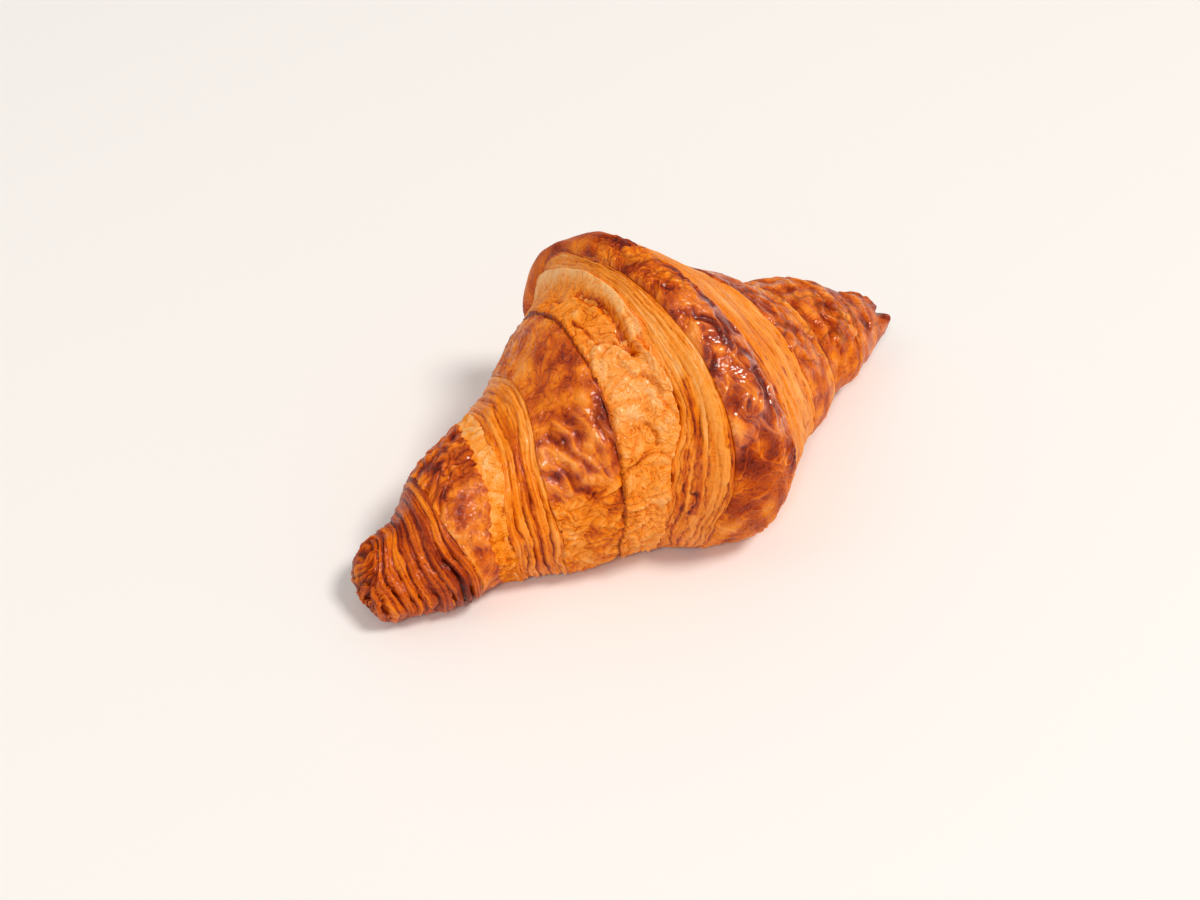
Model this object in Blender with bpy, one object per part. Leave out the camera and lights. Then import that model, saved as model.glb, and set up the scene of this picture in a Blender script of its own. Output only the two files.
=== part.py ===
"""A butter croissant, as baked: one long triangle of laminated dough, rolled up three
and a half times from its wide end.  Its two slanting cut sides wind round the roll, so
each wrap stands a step higher than the one before it and the middle is the thickest.

Frame: metres, +Z up, +X along the roll from the blunt tip to the pointed tip.  The
origin is on the surface that it rests on, under the middle of its length and width.
"""
import math

import bmesh
import bpy
import numpy as np

# The whole roll
LENGTH = 0.165
CREST_RADIUS = 0.0431           # of the outermost wrap, on top
BLUNT_TIP_RADIUS = 0.0070
POINTED_TIP_RADIUS = 0.0060
BLUNT_TIP_ROUNDING = 0.0032     # how far the tips' ends are domed along the roll
POINTED_TIP_ROUNDING = 0.0032

# Where the dough's two cut sides cross the top of the roll, counted in turns from the crest
EDGE_TURNS = (-0.5, 0.0, 0.25, 1.0, 2.0, 3.0)
LEFT_EDGE_X = (0.0008, -0.0027, -0.0076, -0.0345, -0.0617, -0.0710)
RIGHT_EDGE_X = (0.0071, 0.0068, 0.0158, 0.0443, 0.0626, 0.0723)

# The cut faces: how far they slope outward along the roll, and the radius at their top and foot
STEP_TURNS = (-0.5, 0.0, 1.0, 2.0, 3.0)
LEFT_STEP_RUN = (0.0064, 0.0064, 0.0132, 0.0091, 0.0048)
LEFT_STEP_TOP = (0.0419, 0.0419, 0.0228, 0.0159, 0.0104)
LEFT_STEP_FOOT = (0.0343, 0.0343, 0.0190, 0.0102, 0.0104)
RIGHT_STEP_RUN = (0.0220, 0.0220, 0.0017, 0.0045, 0.0026)
RIGHT_STEP_TOP = (0.0403, 0.0403, 0.0194, 0.0154, 0.0073)
RIGHT_STEP_FOOT = (0.0270, 0.0270, 0.0188, 0.0133, 0.0073)
TURNS_SHOWN = 4
TIP_CLEAR = 0.0020              # no cut side is stepped nearer to a tip than this
WRAP_CROWN = 0.0011             # how far each wrap swells between two cut sides

# The hood: the crest's end rises over its neighbour on the far upper side
HOOD_REACH = 0.0055
HOOD_ANGLE = math.radians(24.0)         # measured from +Y, over the top towards -Y
HOOD_HALF_WIDTH = math.radians(40.0)

# The section: settled under its own weight, so it is lower than wide
SECTION_X = (-0.0825, -0.0450, 0.0, 0.0450, 0.0825)
HEIGHT_TO_WIDTH = (0.80, 1.00, 0.95, 0.92, 0.92)
CENTRE_Z = (0.0070, 0.0160, 0.0278, 0.0160, 0.0095)
CENTRE_Y = (0.0030, 0.0011, -0.0018, -0.0012, -0.0022)

# The tail notch and prong on the pointed tip
NOTCH_X = 0.0775
NOTCH_DEPTH = 0.0016
NOTCH_LENGTH = 0.0022
NOTCH_ANGLE = math.radians(100.0)
NOTCH_HALF_WIDTH = math.radians(50.0)

# The underside: pressed flat by the tray, with a rounded border
BORDER_ROUNDING = 0.0035

STATIONS = 102                  # rings of points along the roll
POINTS_ROUND = 44
MERGE_DISTANCE = 0.00002


def monotone(knots, values, where):
    """A smooth curve through the given points that never swings past them."""
    knots = np.asarray(knots, float)
    values = np.asarray(values, float)
    gaps = np.diff(knots)
    slopes = np.diff(values) / gaps
    tangents = np.zeros(len(knots))
    tangents[0] = slopes[0]
    tangents[-1] = slopes[-1]
    rising = slopes[:-1] * slopes[1:] > 0.0
    before = 2.0 * gaps[1:] + gaps[:-1]
    after = gaps[1:] + 2.0 * gaps[:-1]
    safe = np.where(rising, slopes[:-1], 1.0)
    safe_next = np.where(rising, slopes[1:], 1.0)
    harmonic = (before + after) / (before / safe + after / safe_next)
    tangents[1:-1] = np.where(rising, harmonic, 0.0)
    where = np.clip(where, knots[0], knots[-1])
    cell = np.clip(np.searchsorted(knots, where, side="right") - 1, 0, len(gaps) - 1)
    width = gaps[cell]
    part = (where - knots[cell]) / width
    return (values[cell] * (1.0 + 2.0 * part) * (1.0 - part) ** 2
            + tangents[cell] * width * part * (1.0 - part) ** 2
            + values[cell + 1] * part ** 2 * (3.0 - 2.0 * part)
            - tangents[cell + 1] * width * part ** 2 * (1.0 - part))


def turn_at(angle):
    """How far round the roll an angle lies from the top, from -0.5 to 0.5 of a turn."""
    return ((angle - math.pi / 2.0) / (2.0 * math.pi) + 0.5) % 1.0 - 0.5


def crown(inner, outer, turn):
    """The swollen middle of a wrap between two cut sides, fading out on the last turn."""
    swell = WRAP_CROWN * min(STEP_TURNS[-1] - turn, 1.0)
    return ((inner[0] + outer[0]) / 2.0, (inner[1] + outer[1]) / 2.0 + swell)


def wrap_outline(angle):
    """The roll's radius along one line from tip to tip, as (x, radius) corner points."""
    start = turn_at(angle)
    points = []
    outer_left = None
    outer_right = None
    for turn in range(TURNS_SHOWN):
        at = start + turn
        if at > STEP_TURNS[-1]:
            continue
        left = monotone(EDGE_TURNS, LEFT_EDGE_X, at)
        left_foot = left - monotone(STEP_TURNS, LEFT_STEP_RUN, at)
        right = monotone(EDGE_TURNS, RIGHT_EDGE_X, at)
        right_foot = right + monotone(STEP_TURNS, RIGHT_STEP_RUN, at)
        left_top = (left, monotone(STEP_TURNS, LEFT_STEP_TOP, at))
        right_top = (right, monotone(STEP_TURNS, RIGHT_STEP_TOP, at))
        if turn == 0:
            points.append(((left + right) / 2.0, CREST_RADIUS))
        else:
            points.append(crown(outer_left, left_top, at))
            points.append(crown(outer_right, right_top, at))
        outer_left = (left_foot, monotone(STEP_TURNS, LEFT_STEP_FOOT, at))
        outer_right = (right_foot, monotone(STEP_TURNS, RIGHT_STEP_FOOT, at))
        points += [left_top, outer_left, right_top, outer_right]
    reach = LENGTH / 2.0 - TIP_CLEAR
    points = [point for point in points if abs(point[0]) < reach]
    points.append((-LENGTH / 2.0, BLUNT_TIP_RADIUS))
    points.append((LENGTH / 2.0, POINTED_TIP_RADIUS))
    points.sort()
    return points


def tip_dome(x):
    """Rounds the two ends off: 1 along the roll, falling to 0 at each tip."""
    from_left = np.clip((x + LENGTH / 2.0) / BLUNT_TIP_ROUNDING, 0.0, 1.0)
    from_right = np.clip((LENGTH / 2.0 - x) / POINTED_TIP_ROUNDING, 0.0, 1.0)
    return (np.sqrt(1.0 - (1.0 - from_left) ** 2)
            * np.sqrt(1.0 - (1.0 - from_right) ** 2))


def rest_on_tray(z):
    """Flattens what would lie below the surface, and rounds the border of the flat."""
    border = (z + BORDER_ROUNDING) ** 2 / (4.0 * BORDER_ROUNDING)
    return np.where(z < -BORDER_ROUNDING, 0.0, np.where(z < BORDER_ROUNDING, border, z))


def bump(value, centre, half_width):
    """A smooth hill, 1 at its centre and 0 beyond its half width."""
    distance = np.clip(np.abs(value - centre) / half_width, 0.0, 1.0)
    return (1.0 - distance ** 2) ** 2


def skin_line(x, angle):
    """The points of the crust along one line from tip to tip."""
    outline = wrap_outline(angle)
    knots = [point[0] for point in outline]
    radii = [point[1] for point in outline]
    radius = monotone(knots, radii, x) * tip_dome(x)
    notch = bump(x, NOTCH_X, NOTCH_LENGTH) * bump(angle, NOTCH_ANGLE, NOTCH_HALF_WIDTH)
    radius = radius - NOTCH_DEPTH * notch

    # The hood leans the top of the crest's left step outward
    edge = monotone(EDGE_TURNS, LEFT_EDGE_X, turn_at(angle))
    foot = edge - monotone(STEP_TURNS, LEFT_STEP_RUN, turn_at(angle))
    rise = np.clip((x - foot) / (edge - foot), 0.0, 1.0)
    fade = np.clip((LENGTH * 0.12 - (x - edge)) / (LENGTH * 0.12), 0.0, 1.0)
    lean = HOOD_REACH * bump(angle, HOOD_ANGLE, HOOD_HALF_WIDTH) * rise ** 2 * fade

    height = np.sqrt(monotone(SECTION_X, HEIGHT_TO_WIDTH, x))
    y = monotone(SECTION_X, CENTRE_Y, x) + radius * math.cos(angle) / height
    z = monotone(SECTION_X, CENTRE_Z, x) + radius * math.sin(angle) * height
    return np.stack([x - lean, y, rest_on_tray(z)], axis=1)


def crust_material():
    material = bpy.data.materials.new("baked_crust")
    material.use_nodes = True
    shader = material.node_tree.nodes["Principled BSDF"]
    shader.inputs["Base Color"].default_value = (0.52, 0.21, 0.045, 1.0)
    shader.inputs["Roughness"].default_value = 0.42
    shader.inputs["Metallic"].default_value = 0.0
    return material


def roll_up():
    """Spins a line of points round the roll's axis and lays each one on the crust."""
    ease = np.linspace(-1.0, 1.0, STATIONS)
    along = LENGTH / 2.0 * (0.9 * ease + 0.1 * np.sin(ease * math.pi / 2.0))
    shape = bmesh.new()
    line = [shape.verts.new((x, LENGTH, 0.0)) for x in along]
    edges = [shape.edges.new(pair) for pair in zip(line[:-1], line[1:])]
    bmesh.ops.spin(shape, geom=line + edges, cent=(0.0, 0.0, 0.0), axis=(1.0, 0.0, 0.0),
                   angle=2.0 * math.pi, steps=POINTS_ROUND, use_merge=True)
    for vert in shape.verts:
        angle = math.atan2(vert.co.z, vert.co.y) % (2.0 * math.pi)
        vert.co = skin_line(np.array([vert.co.x]), angle)[0]
    bmesh.ops.remove_doubles(shape, verts=shape.verts, dist=MERGE_DISTANCE)
    bmesh.ops.recalc_face_normals(shape, faces=shape.faces)
    return shape


def centre_on_rest(shape):
    """Puts the middle of the box's underside at the origin."""
    points = np.array([vert.co for vert in shape.verts])
    low = points.min(axis=0)
    high = points.max(axis=0)
    middle = (low + high) / 2.0
    bmesh.ops.translate(shape, verts=shape.verts, vec=(-middle[0], -middle[1], -low[2]))


def build():
    for old in list(bpy.data.objects):
        bpy.data.objects.remove(old, do_unlink=True)
    shape = roll_up()
    centre_on_rest(shape)
    mesh = bpy.data.meshes.new("croissant")
    shape.to_mesh(mesh)
    shape.free()
    mesh.shade_smooth()
    mesh.materials.append(crust_material())
    croissant = bpy.data.objects.new("croissant", mesh)
    bpy.context.scene.collection.objects.link(croissant)


build()
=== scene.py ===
import math

import bmesh
import bpy
import numpy as np
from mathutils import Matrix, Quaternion, Vector
from mathutils.bvhtree import BVHTree


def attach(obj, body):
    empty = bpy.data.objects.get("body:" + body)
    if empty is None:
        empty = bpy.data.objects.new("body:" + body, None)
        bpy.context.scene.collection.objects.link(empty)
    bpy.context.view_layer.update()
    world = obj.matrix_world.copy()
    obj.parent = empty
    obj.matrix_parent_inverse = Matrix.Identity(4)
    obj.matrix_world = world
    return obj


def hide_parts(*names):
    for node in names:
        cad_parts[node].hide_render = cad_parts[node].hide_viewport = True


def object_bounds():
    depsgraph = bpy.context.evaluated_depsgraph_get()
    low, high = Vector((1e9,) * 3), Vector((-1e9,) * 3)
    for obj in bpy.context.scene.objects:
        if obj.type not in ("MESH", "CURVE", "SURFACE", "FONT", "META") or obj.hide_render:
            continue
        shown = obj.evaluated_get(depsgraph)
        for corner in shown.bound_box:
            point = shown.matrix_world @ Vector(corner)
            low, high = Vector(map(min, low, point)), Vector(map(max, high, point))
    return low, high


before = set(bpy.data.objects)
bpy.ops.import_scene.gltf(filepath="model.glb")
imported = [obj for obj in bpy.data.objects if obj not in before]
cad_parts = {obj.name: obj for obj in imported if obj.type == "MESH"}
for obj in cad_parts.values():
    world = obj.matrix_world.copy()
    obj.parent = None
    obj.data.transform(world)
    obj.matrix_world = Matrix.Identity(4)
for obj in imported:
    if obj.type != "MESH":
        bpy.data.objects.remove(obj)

cad_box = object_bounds()

# ---------------------------------------------------------------------------------------
# The roll
# A long triangle of butter-laminated dough, rolled up from its wide end.  All the wraps lie
# on one swollen body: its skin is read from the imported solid, by rays from the roll's axis.
# ---------------------------------------------------------------------------------------
MM = 0.001
TURN = 2.0 * math.pi
SPOKES = 120
STATIONS = np.arange(-80.0, 80.5, 1.0)          # mm along the roll, clear of the two tips

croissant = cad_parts["croissant"]
solid = BVHTree.FromPolygons([vert.co for vert in croissant.data.vertices],
                             [face.vertices for face in croissant.data.polygons])


def touch(start, direction):
    """Where a straight line first meets the solid, in mm."""
    hit = solid.ray_cast(Vector(start) * MM, Vector(direction))[0]
    return np.array(hit) / MM


def read_roll():
    """The roll's axis, as (y, z) at each station, and its radius along each spoke, in mm."""
    axis = []
    for x in STATIONS:
        z = (touch((x, 0.0, 200.0), (0, 0, -1))[2] + touch((x, 0.0, -99.0), (0, 0, 1))[2]) / 2.0
        y = (touch((x, -200.0, z), (0, 1, 0))[1] + touch((x, 200.0, z), (0, -1, 0))[1]) / 2.0
        axis.append((y, z))
    axis = np.array(axis)
    for _ in range(6):
        axis[1:-1] = (axis[:-2] + 2.0 * axis[1:-1] + axis[2:]) / 4.0
    radii = np.zeros((len(STATIONS), SPOKES))
    for row, x in enumerate(STATIONS):
        y, z = axis[row]
        for spoke in range(SPOKES):
            angle = TURN * spoke / SPOKES
            way = (0.0, math.cos(angle), math.sin(angle))
            radii[row, spoke] = np.linalg.norm(touch((x, y, z), way) - (x, y, z))
    for _ in range(2):
        radii = (np.roll(radii, 1, 1) + 2.0 * radii + np.roll(radii, -1, 1)) / 4.0
        radii[1:-1] = (radii[:-2] + 2.0 * radii[1:-1] + radii[2:]) / 4.0
    return axis, radii


axis_yz, skin_radii = read_roll()


def spline_weights(part):
    """The four weights of a smooth curve through evenly spaced values."""
    return (((2.0 - part) * part - 1.0) * part / 2.0,
            ((3.0 * part - 5.0) * part * part + 2.0) / 2.0,
            ((4.0 - 3.0 * part) * part + 1.0) * part / 2.0,
            (part - 1.0) * part * part / 2.0)


def skin(x, angle):
    """The body's radius in mm, at x mm along the roll and an angle from +Y over the top."""
    row = np.clip(x - STATIONS[0], 0.0, len(STATIONS) - 1.001)
    spoke = angle / TURN * SPOKES
    row_cell = np.floor(row).astype(int)
    spoke_cell = np.floor(spoke).astype(int)
    radius = 0.0
    for i, row_weight in enumerate(spline_weights(row - row_cell)):
        rows = np.clip(row_cell + i - 1, 0, len(STATIONS) - 1)
        for j, spoke_weight in enumerate(spline_weights(spoke - spoke_cell)):
            radius = radius + row_weight * spoke_weight * skin_radii[rows, (spoke_cell + j - 1) % SPOKES]
    return radius


def lay(x, radius, angle, lift=0.0):
    """Points on the roll, in metres, kept above the tray and inside the solid's box."""
    y = np.interp(x, STATIONS, axis_yz[:, 0]) + radius * np.cos(angle)
    z = np.interp(x, STATIONS, axis_yz[:, 1]) + radius * np.sin(angle) + lift
    points = np.stack([x, y, z], axis=1) * MM
    return np.clip(points, np.array(cad_box[0]) + 0.00002, np.array(cad_box[1]) - 0.00002)


def smooth(value, low=0.0, high=1.0):
    """Eases from 0 to 1 as a value goes from low to high."""
    part = np.clip((value - low) / (high - low), 0.0, 1.0)
    return part * part * (3.0 - 2.0 * part)


def round_line(*places, blur=7):
    """A line round the roll through (degrees, mm along) places, eased into a smooth closed curve."""
    degrees = [place[0] for place in places]
    values = [place[1] for place in places]
    line = np.interp(np.arange(360.0), degrees, values, period=360.0)
    window = np.hanning(2 * blur + 3)[1:-1]
    wrapped = np.concatenate([line[-blur:], line, line[:blur]])
    line = np.convolve(wrapped, window / window.sum(), mode="valid")
    return lambda angle: np.interp(np.degrees(angle), np.arange(361.0), np.append(line, line[0]))


def hills(x, angle, along, around, girth, seed):
    """Gentle random hills, about -1 to 1, each `along` mm long and `around` mm round the roll."""
    cells = max(3, round(TURN * girth / around))
    leans = np.random.default_rng(seed).random((97, cells)) * TURN
    a = x / along + 200.0
    b = angle / TURN * cells
    a_cell = np.floor(a).astype(int)
    b_cell = np.floor(b).astype(int)
    a_part = a - a_cell
    b_part = b - b_cell
    height = 0.0
    for i in (0, 1):
        for j in (0, 1):
            lean = leans[(a_cell + i) % 97, (b_cell + j) % cells]
            rise = np.cos(lean) * (a_part - i) + np.sin(lean) * (b_part - j)
            fade = smooth(1.0 - np.abs(a_part - i)) * smooth(1.0 - np.abs(b_part - j))
            height = height + rise * fade
    return height * 1.6


def plates(x, angle, along, around, girth, seed):
    """Random plates like dried mud: distance to the nearest middle, gap to the next, and a number each."""
    cells = max(3, round(TURN * girth / around))
    rng = np.random.default_rng(seed)
    shift = rng.random((97, cells, 2)) * 0.86 + 0.07
    number = rng.random((97, cells))
    a = x / along + 200.0
    b = angle / TURN * cells
    a_cell = np.floor(a).astype(int)
    b_cell = np.floor(b).astype(int)
    nearest = np.full(np.shape(a), 9.0)
    second = np.full(np.shape(a), 9.0)
    own = np.zeros(np.shape(a))
    for i in (-1, 0, 1):
        for j in (-1, 0, 1):
            rows = (a_cell + i) % 97
            columns = (b_cell + j) % cells
            middle = shift[rows, columns]
            gap = np.hypot(a_cell + i + middle[..., 0] - a, b_cell + j + middle[..., 1] - b)
            closer = gap < nearest
            second = np.where(closer, nearest, np.minimum(second, gap))
            own = np.where(closer, number[rows, columns], own)
            nearest = np.where(closer, gap, nearest)
    return nearest, second - nearest, own


def stroke(x, angle, girth, width, *places):
    """1 on a line drawn through (mm along, degrees) places, easing to 0 at `width` mm from it."""
    nearest = np.full(np.shape(x), 99.0)
    for (x0, degrees0), (x1, degrees1) in zip(places[:-1], places[1:]):
        dx = x1 - x0
        dy = math.radians(degrees1 - degrees0) * girth
        px = x - x0
        py = (angle - math.radians(degrees0)) * girth
        part = np.clip((px * dx + py * dy) / (dx * dx + dy * dy), 0.0, 1.0)
        nearest = np.minimum(nearest, np.hypot(px - part * dx, py - part * dy))
    return 1.0 - smooth(nearest, 0.0, width)


def patch(x, angle, girth, centre, size):
    """A soft round patch: centre as (mm along, degrees), size as (mm along, mm round)."""
    px = (x - centre[0]) / size[0]
    py = (angle - math.radians(centre[1])) * girth / size[1]
    return np.exp(-(px * px + py * py))


def spin_mesh(across, around, shape, closed=True):
    """One closed ring of dough round the roll.  Its grid is wrapped round twice: once round the
    roll, and once round its own section, over the crust and back underneath.  `shape` gives the
    place (x, radius) and the looks of each point, from how far across it lies and its angle."""
    back_rows = (1.0, 0.5, 0.0, 0.0) if closed else (1.0,)
    rows = across + len(back_rows)
    blank = bmesh.new()
    blank.loops.layers.uv.new("OFBake")
    bmesh.ops.create_grid(blank, x_segments=around, y_segments=rows, size=0.5, calc_uvs=True)
    mesh = bpy.data.meshes.new("ring")
    blank.to_mesh(mesh)
    blank.free()
    flat = np.zeros(len(mesh.vertices) * 3, np.float32)
    mesh.vertices.foreach_get("co", flat)
    flat = flat.reshape(-1, 3) + 0.5
    row = np.rint(flat[:, 1] * rows).astype(int)
    angle = np.rint(flat[:, 0] * around) / around * TURN
    along = np.concatenate([np.linspace(0.0, 1.0, across + 1), back_rows])[row]
    under = (row > across) & (row < rows) if closed else row > across
    x, radius, looks = shape(along, angle, under)
    lift = looks.pop("lift", 0.0)
    mesh.vertices.foreach_set("co", lay(x, radius, angle, lift).astype(np.float32).ravel())
    for look, values in looks.items():
        values = np.broadcast_to(values, x.shape).astype(np.float32)
        mesh.attributes.new(look, "FLOAT", "POINT").data.foreach_set("value", values)
    return mesh


def finish_piece(name, rings, material):
    """Welds each ring's seams, and makes them one piece of the croissant."""
    whole = bmesh.new()
    for ring in rings:
        whole.from_mesh(ring)
        bpy.data.meshes.remove(ring)
    bmesh.ops.remove_doubles(whole, verts=whole.verts, dist=0.000001)
    bmesh.ops.recalc_face_normals(whole, faces=whole.faces)
    mesh = bpy.data.meshes.new(name)
    whole.to_mesh(mesh)
    whole.free()
    mesh.shade_smooth()
    mesh.materials.append(material)
    piece = bpy.data.objects.new(name, mesh)
    bpy.context.scene.collection.objects.link(piece)
    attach(piece, "root")
    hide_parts("croissant")
    return piece


def linear(hex_colour):
    """An sRGB hex colour as linear red, green, blue and alpha."""
    parts = [int(hex_colour[place:place + 2], 16) / 255.0 for place in (1, 3, 5)]
    return tuple(part / 12.92 if part <= 0.04045 else ((part + 0.055) / 1.055) ** 2.4
                 for part in parts) + (1.0,)


def add_node(tree, kind, settings=(), **links):
    """Adds a node, with its settings, the values of its inputs and the links into them."""
    node = tree.nodes.new(kind)
    for name, value in dict(settings).items():
        setattr(node, name, value)
    for name, value in links.items():
        socket = node.inputs[int(name[1:])] if name[1:].isdigit() else node.inputs[name.replace("_", " ")]
        if isinstance(value, bpy.types.NodeSocket):
            tree.links.new(value, socket)
        else:
            socket.default_value = value
    return node


BAKING = ((0.00, "#FFD28C"), (0.14, "#FFBE78"), (0.30, "#FFA03E"), (0.46, "#F2840A"),
          (0.60, "#D25C00"), (0.74, "#A23400"), (0.87, "#6A1600"), (1.00, "#340600"))


def crust_material(name, dull, bright, coat, blotchy, grain, flake_edge_shade, bumpy):
    """Baked dough: its colour follows how far each point is baked, with shade painted into its creases, gaps and
    hollows; its gloss follows the egg wash on it.
    """
    material = bpy.data.materials.new(name)
    material.use_nodes = True
    tree = material.node_tree
    shader = tree.nodes["Principled BSDF"]
    place = add_node(tree, "ShaderNodeTexCoord").outputs["Object"]
    # The baked value also carries the shade and light that the surfaces below paint in.
    baked = add_node(tree, "ShaderNodeAttribute", {"attribute_name": "bake_and_painted_shading"}).outputs["Fac"]
    painted_groove_shade = add_node(tree, "ShaderNodeAttribute", {"attribute_name": "painted_groove_shade"}).outputs["Fac"]
    wash = add_node(tree, "ShaderNodeAttribute", {"attribute_name": "wash"}).outputs["Fac"]
    blotch = add_node(tree, "ShaderNodeTexNoise", Vector=place, Scale=240.0, Detail=5.0, Roughness=0.65)
    speckle = add_node(tree, "ShaderNodeTexNoise", Vector=place, Scale=1500.0, Detail=3.0, Roughness=0.7)
    uneven = add_node(tree, "ShaderNodeMath", {"operation": "MULTIPLY_ADD"},
                      _0=blotch.outputs["Fac"], _1=blotchy, _2=baked)
    uneven = add_node(tree, "ShaderNodeMath", {"operation": "MULTIPLY_ADD"},
                      _0=speckle.outputs["Fac"], _1=grain, _2=uneven.outputs[0])
    centred = add_node(tree, "ShaderNodeMath", {"operation": "SUBTRACT"},
                       _0=uneven.outputs[0], _1=(blotchy + grain) / 2.0)
    swell = add_node(tree, "ShaderNodeTexNoise", Vector=place, Scale=190.0, Detail=2.0, Roughness=0.5,
                     Distortion=0.5)
    terrace = add_node(tree, "ShaderNodeMath", {"operation": "MULTIPLY"}, _0=swell.outputs["Fac"], _1=9.0)
    flake = add_node(tree, "ShaderNodeMath", {"operation": "FRACT"}, _0=terrace.outputs[0])
    # Darker at the foot of each flake's edge: painted shade.
    crease = add_node(tree, "ShaderNodeMapRange", Value=flake.outputs[0], From_Min=0.0, From_Max=0.30,
                      To_Min=flake_edge_shade, To_Max=0.0)
    lined = add_node(tree, "ShaderNodeMath", {"operation": "ADD"}, _0=centred.outputs[0],
                     _1=crease.outputs["Result"])
    ramp = add_node(tree, "ShaderNodeValToRGB", Fac=lined.outputs[0])
    stops = ramp.color_ramp.elements
    while len(stops) < len(BAKING):
        stops.new(0.5)
    for stop, (position, colour) in zip(stops, BAKING):
        stop.position = position
    for stop, (position, colour) in zip(stops, BAKING):
        stop.color = linear(colour)
    # Mixes the colour towards dark brown in the gaps, creases and hollows: painted shade.
    shade = add_node(tree, "ShaderNodeMix", {"data_type": "RGBA", "blend_type": "MIX"},
                     _0=painted_groove_shade, _6=ramp.outputs["Color"], _7=linear("#4A1000"))
    tree.links.new(shade.outputs[2], shader.inputs["Base Color"])
    gloss = add_node(tree, "ShaderNodeMapRange", Value=wash, From_Min=0.0, From_Max=1.0,
                     To_Min=dull, To_Max=bright)
    tree.links.new(gloss.outputs["Result"], shader.inputs["Roughness"])
    shine = add_node(tree, "ShaderNodeMath", {"operation": "MULTIPLY"}, _0=wash, _1=coat)
    tree.links.new(shine.outputs[0], shader.inputs["Coat Weight"])
    shader.inputs["IOR"].default_value = 1.40
    shader.inputs["Specular IOR Level"].default_value = 0.10
    shader.inputs["Coat Roughness"].default_value = 0.09
    shader.inputs["Coat IOR"].default_value = 1.56
    shader.inputs["Subsurface Weight"].default_value = 0.10
    shader.inputs["Subsurface Radius"].default_value = (1.0, 0.40, 0.10)
    shader.inputs["Subsurface Scale"].default_value = 0.0015
    edge = add_node(tree, "ShaderNodeMapRange", Value=flake.outputs[0], From_Min=0.0, From_Max=0.35,
                    To_Min=0.0, To_Max=1.0)
    flakes = add_node(tree, "ShaderNodeBump", Height=edge.outputs["Result"], Strength=bumpy, Distance=0.0004)
    tree.links.new(flakes.outputs["Normal"], shader.inputs["Coat Normal"])
    pore = add_node(tree, "ShaderNodeBump", Height=speckle.outputs["Fac"], Strength=0.35, Distance=0.0002,
                    Normal=flakes.outputs["Normal"])
    tree.links.new(pore.outputs["Normal"], shader.inputs["Normal"])
    return material


# Egg-washed crust: browned and shiny.  Bare crust: dough that swelled out from under the next
# wrap, never washed.  Cut layers: the thin leaves at the dough's cut sides.
washed_crust = crust_material("egg_washed_crust", 0.50, 0.34, 1.0, 0.15, 0.14, 0.12, 0.35)
bare_crust = crust_material("bare_crust", 0.50, 0.42, 0.80, 0.12, 0.16, 0.20, 0.4)
cut_layers = crust_material("cut_layers", 0.50, 0.40, 0.40, 0.16, 0.14, 0.08, 0.25)


def spread(along):
    """Sets the points of a ring a little closer together at its two borders."""
    return along - 0.07 * np.sin(TURN * along)


def lip(distance, height):
    """How much a free border is rounded down, in mm, at a distance in mm inside it."""
    part = np.clip(1.0 - distance / np.maximum(height, 0.001), 0.0, 1.0)
    return height * (1.0 - np.sqrt(1.0 - part * part * 0.999))


def lively(x, angle, girth, seed):
    """Uneven swelling of the dough, in mm."""
    return (0.40 * hills(x, angle, 9.0, 12.0, girth, seed)
            + 0.18 * hills(x, angle, 3.5, 5.0, girth, seed + 1))


def wrinkles(x, angle, along, around, girth, seed, swirl=0.9):
    """Wrinkled skin: rounded folds, 0 in the creases between them to 1, and thin raised ridges."""
    bent_x = x + swirl * along * hills(x, angle, along * 2.1, around * 1.3, girth, seed + 1)
    bent_angle = angle + 0.6 * swirl * around / girth * hills(x, angle, along * 1.9, around * 1.1, girth, seed + 2)
    fold = np.minimum(1.7 * np.abs(hills(bent_x, bent_angle, along, around, girth, seed)), 1.0)
    ridge = np.maximum(1.0 - 4.0 * np.abs(hills(bent_x, bent_angle, along * 0.9, around * 0.9, girth, seed + 3)), 0.0)
    return fold, ridge


def blisters(x, angle, along, around, girth, seed, swirl=0.7):
    """Glassy blistered skin: 1 on the rounded crests that run between the hollows, 0 in the hollows."""
    bent_x = x + swirl * 0.5 * along * hills(x, angle, along * 0.9, around * 0.6, girth, seed + 1)
    bent_angle = angle + swirl * around * 0.2 / girth * hills(x, angle, along * 0.8, around * 0.5, girth, seed + 2)
    coarse = np.exp(-8.0 * hills(bent_x, bent_angle, along, around, girth, seed) ** 2)
    fine = np.exp(-8.0 * hills(bent_x, bent_angle, along * 0.5, around * 0.5, girth, seed + 3) ** 2)
    return coarse, fine


def layers(across, angle, spacing, girth, seed, wavy=1.0):
    """Sheets of dough lying on each other like shingles, each with a steep edge to the left:
    their height, their own shade of colour, and the gaps at the feet of their edges, which the surfaces darken as
    painted shade."""
    phase = across / spacing + 0.50 * hills(across, angle, spacing * 1.7, 26.0, girth, seed)
    phase = phase + 0.16 * wavy * hills(across, angle, spacing * 0.9, 6.0, girth, seed + 1)
    phase = phase + 0.07 * wavy * hills(across, angle, spacing * 0.5, 1.8, girth, seed + 4)
    sheet = np.floor(phase)
    part = phase - sheet
    own = hills(sheet * 5.3, angle, 1.0, 24.0, girth, seed + 2)
    stand = 0.75 + 0.6 * hills(sheet * 3.7, angle, 1.0, 10.0, girth, seed + 3)
    rise = (smooth(part, 0.0, 0.26) * (1.0 - 0.75 * part) - 0.5) * stand
    gap = (1.0 - smooth(part, 0.0, 0.22) + smooth(part, 0.84, 1.0)) * np.clip(stand, 0.0, 1.0)
    return rise, own, gap


def pebbles(x, angle, size, girth, seed):
    """The small close bumps of a crust blistered by the oven's heat, 0 to 1."""
    bent = x + 0.5 * size * hills(x, angle, size * 2.0, size * 2.0, girth, seed + 1)
    return smooth(plates(bent, angle, size, size * 1.15, girth, seed)[1], 0.0, 0.5)


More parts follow.
